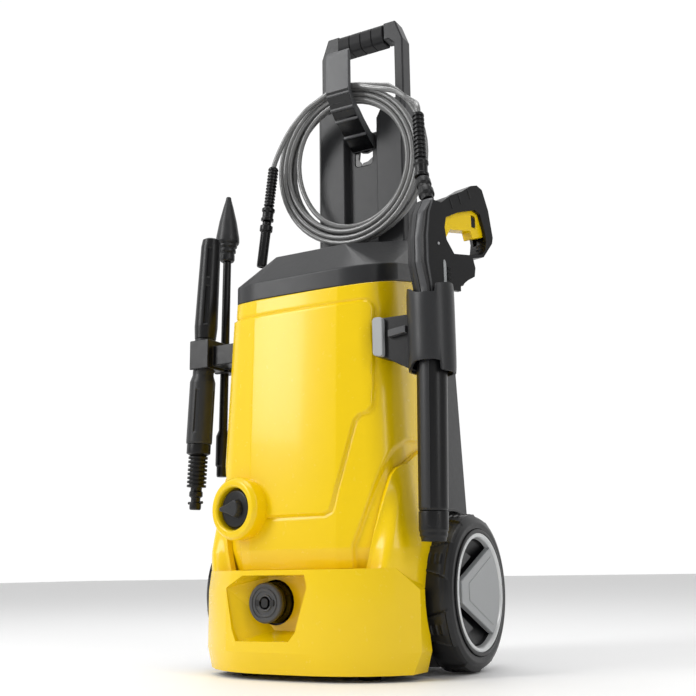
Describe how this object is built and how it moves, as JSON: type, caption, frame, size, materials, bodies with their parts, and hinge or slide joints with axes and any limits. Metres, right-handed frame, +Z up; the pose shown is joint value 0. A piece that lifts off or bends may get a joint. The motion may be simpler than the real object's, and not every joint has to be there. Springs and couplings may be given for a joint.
{
  "type": "pressure washer",
  "caption": "Upright electric pressure washer with a yellow shell, wheels, a telescopic handle, a hose coiled on its hook, a stored spray gun and stored spray lances.",
  "frame": {"origin": "middle of the machine's footprint on the floor, without the free hose and its fittings", "axes": "+Z up; -Y is the front with the dial and outlet; +X is the side that carries the spray gun"},
  "size_m": [0.4022, 0.2624, 0.876],
  "materials": {
    "yellow_shell": "gloss moulded shell",
    "dark_plastic": "satin, fine moulded grain",
    "black_plastic": "satin",
    "soft_grip": "matt",
    "tyre": "matt",
    "cap_grey": "satin",
    "steel": "turned",
    "pump_alloy": "cast",
    "motor_core": "laminated",
    "white_plastic": "satin",
    "hose_sheath": "satin translucent sheath"
  },
  "bodies": {
    "machine": {"base_cover": "yellow_shell", "front_cover": "yellow_shell", "dial_bezel": "yellow_shell", "top_lid": "dark_plastic", "back_panel": "dark_plastic", "hose_hook": "dark_plastic", "gun_holder": "dark_plastic", "outlet_coupling": "dark_plastic", "rear_cover": "dark_plastic", "chassis": "black_plastic", "inlet_coupling": "black_plastic", "inlet_pipe": "black_plastic", "gun_bracket": "black_plastic", "gun_body": "black_plastic", "gun_barrel": "black_plastic", "barrel_collar": "black_plastic", "lance_clip": "black_plastic", "hose_sleeve_gun": "black_plastic", "hose_sleeve_free": "black_plastic", "hose_plug_gun": "black_plastic", "hose_plug_free": "black_plastic", "cable_gland": "soft_grip", "front_foot_left": "soft_grip", "front_foot_right": "soft_grip", "axle": "steel", "axle_clip_left": "steel", "axle_clip_right": "steel", "piston_1": "steel", "piston_2": "steel", "piston_3": "steel", "pump_head": "pump_alloy", "pump_housing": "pump_alloy", "motor_housing": "pump_alloy", "inlet_filter": "white_plastic", "start_capacitor": "white_plastic", "switch_box": "white_plastic", "hose_coil": "hose_sheath", "hose_run_gun": "hose_sheath", "hose_run_free": "hose_sheath"},
    "wheel_left": {"tyre_left": "tyre", "rim_left": "black_plastic", "hub_cap_left": "cap_grey"},
    "wheel_right": {"tyre_right": "tyre", "rim_right": "black_plastic", "hub_cap_right": "cap_grey"},
    "handle": {"handle_frame": "dark_plastic", "handle_grip": "soft_grip"},
    "dial": {"dial_knob": "black_plastic"},
    "trigger": {"gun_trigger": "yellow_shell"},
    "trigger_lock": {"trigger_lock": "black_plastic"},
    "release": {"release_button": "black_plastic"},
    "lance_vario": {"vario_bayonet": "black_plastic", "vario_tube": "black_plastic"},
    "vario_sleeve": {"vario_nozzle": "black_plastic"},
    "lance_rotary": {"rotary_tube": "black_plastic", "rotary_nozzle": "dark_plastic"},
    "rotor": {"motor_rotor": "motor_core", "cooling_fan": "black_plastic", "wobble_plate": "steel"}
  },
  "joints": [
    {"name": "wheel_left_spin", "type": "hinge", "parent": "machine", "child": "wheel_left", "pos_m": [-0.15189, 0.03485, 0.08965], "axis": [1, 0, 0], "continuous": true},
    {"name": "wheel_right_spin", "type": "hinge", "parent": "machine", "child": "wheel_right", "pos_m": [0.13611, 0.03485, 0.08965], "axis": [1, 0, 0], "continuous": true},
    {"name": "handle_slide", "type": "slide", "parent": "machine", "child": "handle", "axis": [0, 0, -1], "range_m": [0, 0.085]},
    {"name": "dial_turn", "type": "hinge", "parent": "machine", "child": "dial", "pos_m": [-0.07989, -0.12515, 0.188], "axis": [-0.1564, -0.9877, 0], "range_deg": [0, 90]},
    {"name": "trigger_squeeze", "type": "hinge", "parent": "machine", "child": "trigger", "pos_m": [0.16781, -0.0619, 0.505], "axis": [0.9659, -0.2588, 0], "range_deg": [0, 5], "stiffness_Nm_per_rad": 6, "springref_deg": -5.73},
    {"name": "lock_push", "type": "slide", "parent": "trigger", "child": "trigger_lock", "axis": [0.9659, -0.2588, 0], "range_m": [0, 0.004]},
    {"name": "release_press", "type": "slide", "parent": "machine", "child": "release", "axis": [-0.2588, -0.9659, 0], "range_m": [0, 0.0025], "stiffness_N_per_m": 800, "springref_m": -0.002},
    {"name": "vario_lift_out", "type": "slide", "parent": "machine", "child": "lance_vario", "axis": [-1, 0, 0], "range_m": [0, 0.06]},
    {"name": "vario_twist", "type": "hinge", "parent": "lance_vario", "child": "vario_sleeve", "pos_m": [-0.17089, -0.05515, 0.551], "axis": [0.0504, 0, 0.9987], "range_deg": [0, 120]},
    {"name": "rotary_lift_out", "type": "slide", "parent": "machine", "child": "lance_rotary", "axis": [-1, 0, 0], "range_m": [0, 0.06]},
    {"name": "rotor_spin", "type": "hinge", "parent": "machine", "child": "rotor", "pos_m": [-0.00789, -0.03315, 0.24], "axis": [0, 0, 1], "continuous": true}
  ]
}
